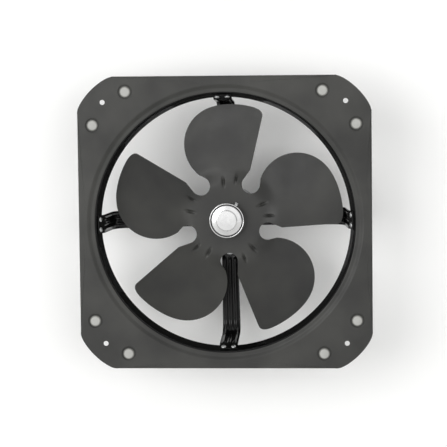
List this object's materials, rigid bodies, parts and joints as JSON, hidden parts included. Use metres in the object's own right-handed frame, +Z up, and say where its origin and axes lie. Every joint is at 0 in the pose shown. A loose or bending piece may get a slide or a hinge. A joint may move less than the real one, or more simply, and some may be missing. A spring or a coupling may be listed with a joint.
{
  "type": "window exhaust fan",
  "caption": "Square sheet-metal window exhaust fan: a pressed plate with a throat, ribbed arms that carry the motor behind it, and a pitched-blade impeller with a hub cap.",
  "frame": {"origin": "on the fan's axis, in the plane where the plate's cushions bear on the wall", "axes": "+Y back along the fan's axis from the room through the wall to the motor, +Z up, +X to the right as seen from the room"},
  "size_m": [0.38, 0.1361, 0.38],
  "materials": {
    "plate_paint": "satin grey paint",
    "impeller_paint": "satin grey paint",
    "arm_paint": "gloss black paint",
    "cushion_rubber": "matte light grey",
    "zinc": "zinc plated",
    "cap_chrome": "polished chrome",
    "cast_aluminium": "as cast",
    "laminations": "stacked sheet edges",
    "winding_copper": "enamelled copper",
    "bearing_bronze": "sintered bronze",
    "steel": "bright steel",
    "box_plastic": "black plastic",
    "white_plastic": "off-white plastic"
  },
  "bodies": {
    "frame": {"mounting_plate": "plate_paint", "cushion_top_right_inner": "cushion_rubber", "cushion_top_right_outer": "cushion_rubber", "cushion_top_left_inner": "cushion_rubber", "cushion_top_left_outer": "cushion_rubber", "cushion_bottom_left_inner": "cushion_rubber", "cushion_bottom_left_outer": "cushion_rubber", "cushion_bottom_right_inner": "cushion_rubber", "cushion_bottom_right_outer": "cushion_rubber", "arm_top": "arm_paint", "arm_top_screw": "zinc", "arm_top_rivet_1": "zinc", "arm_top_rivet_2": "zinc", "arm_right": "arm_paint", "arm_right_screw": "zinc", "arm_right_rivet_1": "zinc", "arm_right_rivet_2": "zinc", "arm_bottom": "arm_paint", "arm_bottom_screw": "zinc", "arm_bottom_rivet_1": "zinc", "arm_bottom_rivet_2": "zinc", "arm_left": "arm_paint", "arm_left_screw": "zinc", "arm_left_rivet_1": "zinc", "arm_left_rivet_2": "zinc", "motor_front_cover": "cast_aluminium", "motor_rear_cover": "cast_aluminium", "stator_core": "laminations", "stator_winding": "winding_copper", "front_bearing": "bearing_bronze", "rear_bearing": "bearing_bronze", "terminal_box": "box_plastic", "terminal_lid": "box_plastic", "lid_screw_1": "zinc", "lid_screw_2": "zinc", "box_screw_1": "zinc", "box_screw_2": "zinc", "run_capacitor": "white_plastic", "terminal_block": "white_plastic", "cable_gland": "box_plastic"},
    "rotor": {"shaft": "steel", "rotor_core": "laminations", "impeller_boss": "steel", "drive_pin": "steel", "boss_rivet_1": "steel", "boss_rivet_2": "steel", "boss_rivet_3": "steel", "boss_rivet_4": "steel", "impeller": "impeller_paint", "tab_washer": "zinc", "shaft_nut": "zinc", "hub_cap": "cap_chrome"}
  },
  "joints": [
    {"name": "impeller_spin", "type": "hinge", "parent": "frame", "child": "rotor", "pos_m": [0, 0.033, 0], "axis": [0, 1, 0], "continuous": true}
  ]
}
